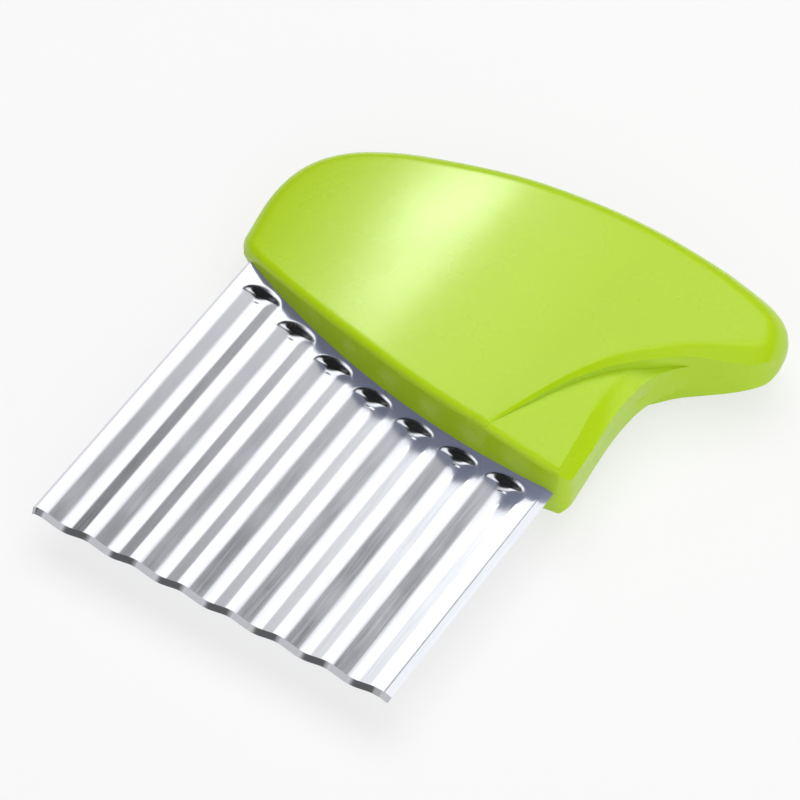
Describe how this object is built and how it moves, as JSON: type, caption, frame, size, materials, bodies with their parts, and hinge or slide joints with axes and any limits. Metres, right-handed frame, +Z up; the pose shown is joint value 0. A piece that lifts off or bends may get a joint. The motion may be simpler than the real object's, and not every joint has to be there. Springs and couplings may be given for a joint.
{
  "type": "crinkle cutter",
  "caption": "Hand-held crinkle cutter: a corrugated steel blade with a waved edge in the front wall of a beak-shaped hollow plastic handle.",
  "frame": {"origin": "on the table, in the flat resting strip of the handle's underside, in line with the middle of the cutting edge", "axes": "+X along the cutting edge towards the finger hold, +Y from the cutting edge to the back of the handle, +Z up from the table"},
  "size_m": [0.0991, 0.1105, 0.0186],
  "materials": {
    "blade_steel": "polished stainless sheet with very fine rolling grain along the grooves",
    "handle_plastic": "lime green moulded plastic, smooth with a soft gloss"
  },
  "bodies": {
    "root": {"crinkle_blade": "blade_steel", "handle_upper_shell": "handle_plastic", "handle_lower_shell": "handle_plastic"}
  },
  "joints": []
}
